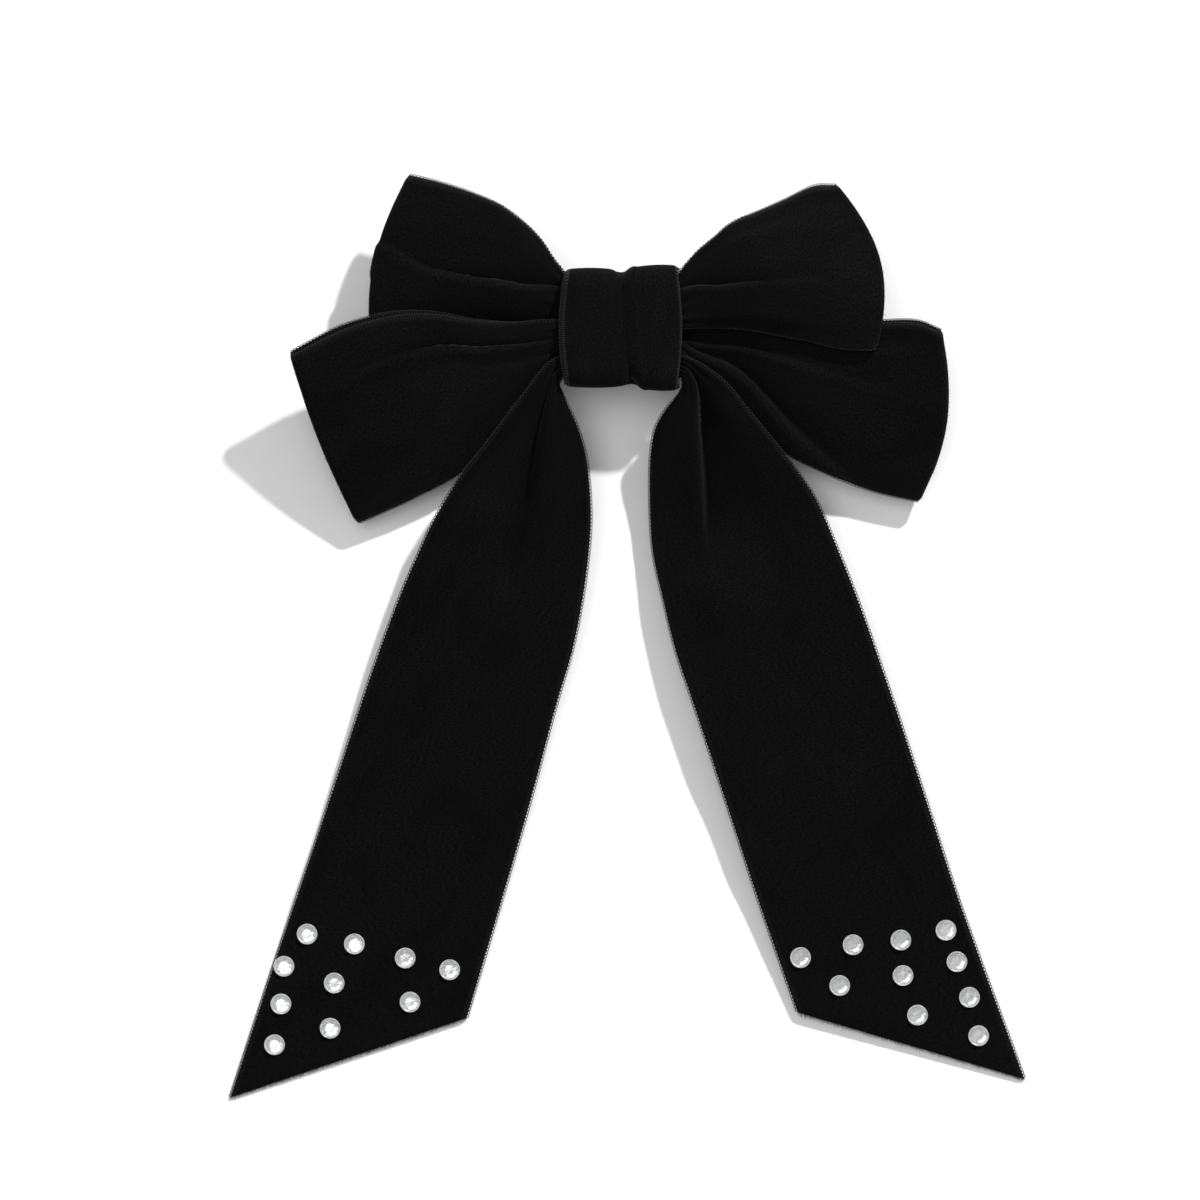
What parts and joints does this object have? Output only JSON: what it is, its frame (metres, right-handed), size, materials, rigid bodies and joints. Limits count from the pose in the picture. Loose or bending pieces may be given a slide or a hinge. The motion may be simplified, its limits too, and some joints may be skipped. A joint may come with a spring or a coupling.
{
  "type": "hair bow barrette",
  "caption": "Velvet ribbon hair bow with two pairs of loops, long slanted tails set with clear stones, and a sprung barrette clip behind the knot.",
  "frame": {"origin": "middle of the clasp arm's flat outer face, right under the knot, on the surface that the bow lies on", "axes": "+X along the clip, +Y from the tails towards the upper loops, +Z out of the bow's face"},
  "size_m": [0.1557, 0.1797, 0.0206],
  "materials": {
    "velvet": "black cut-pile velvet ribbon with woven picot edges",
    "thread": "black sewing thread",
    "steel": "nickel plated, brushed lightly",
    "spring_steel": "bright rolled spring strip",
    "crystal": "clear cut acrylic with a silver back"
  },
  "bodies": {
    "bow": {"upper_bow_ribbon": "velvet", "lower_bow_ribbon": "velvet", "tail_ribbon": "velvet", "knot_band": "velvet", "binding_thread": "thread", "barrette_plate": "steel", "hinge_pin": "steel", "catch_bracket": "steel", "catch_rivet": "steel", "tab_pin_front": "steel", "tab_pin_back": "steel", "rhinestone_left_01": "crystal", "rhinestone_left_02": "crystal", "rhinestone_left_03": "crystal", "rhinestone_left_04": "crystal", "rhinestone_left_05": "crystal", "rhinestone_left_06": "crystal", "rhinestone_left_07": "crystal", "rhinestone_left_08": "crystal", "rhinestone_left_09": "crystal", "rhinestone_left_10": "crystal", "rhinestone_right_01": "crystal", "rhinestone_right_02": "crystal", "rhinestone_right_03": "crystal", "rhinestone_right_04": "crystal", "rhinestone_right_05": "crystal", "rhinestone_right_06": "crystal", "rhinestone_right_07": "crystal", "rhinestone_right_08": "crystal", "rhinestone_right_09": "crystal", "rhinestone_right_10": "crystal"},
    "arm": {"clasp_arm": "steel"},
    "bar": {"tension_bar": "spring_steel"},
    "tab_front": {"release_tab_front": "spring_steel"},
    "tab_back": {"release_tab_back": "spring_steel"}
  },
  "joints": [
    {"name": "clasp_hinge", "type": "hinge", "parent": "bow", "child": "arm", "pos_m": [-0.036, 0, 0.0033], "axis": [0, 1, 0], "range_deg": [0, 75]},
    {"name": "tension_bar_hinge", "type": "hinge", "parent": "bow", "child": "bar", "pos_m": [-0.036, 0, 0.0033], "axis": [0, 1, 0], "range_deg": [0, 26]},
    {"name": "release_tab_front_hinge", "type": "hinge", "parent": "bow", "child": "tab_front", "pos_m": [0.0355, -0.0017, 0.0045], "axis": [1, 0, 0], "range_deg": [0, 8], "stiffness_Nm_per_rad": 0.02},
    {"name": "release_tab_back_hinge", "type": "hinge", "parent": "bow", "child": "tab_back", "pos_m": [0.0355, 0.0017, 0.0045], "axis": [-1, 0, 0], "range_deg": [0, 8], "stiffness_Nm_per_rad": 0.02}
  ],
  "couplings": [
    {"joint": "tension_bar_hinge", "follows": "clasp_hinge", "ratio": 0.33}
  ]
}
